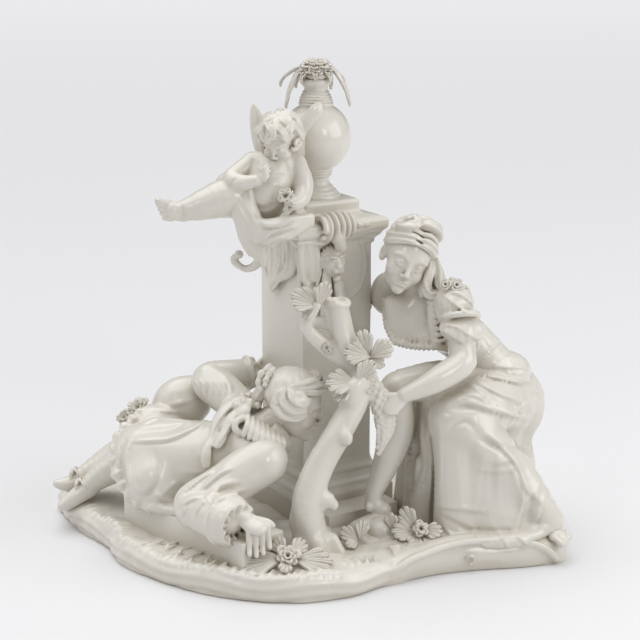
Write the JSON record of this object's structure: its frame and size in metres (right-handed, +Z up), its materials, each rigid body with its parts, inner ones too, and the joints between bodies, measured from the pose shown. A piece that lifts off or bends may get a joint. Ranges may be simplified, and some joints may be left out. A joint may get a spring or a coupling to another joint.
{
  "type": "porcelain figure group",
  "caption": "White glazed figure group: a lady, a reclining youth and a small winged cupid gathered round a pedestal with an urn, fired in one with a rocky plinth.",
  "frame": {"origin": "on the plinth's flat underside, straight below the axis of the urn and pedestal", "axes": "+Z up, +X to the right as seen from the front, +Y away from the viewer; the front faces -Y"},
  "size_m": [0.2844, 0.1758, 0.2609],
  "materials": {
    "glazed_porcelain": "clear glossy glaze on white porcelain"
  },
  "bodies": {
    "root": {"figure_group": "glazed_porcelain"}
  },
  "joints": []
}
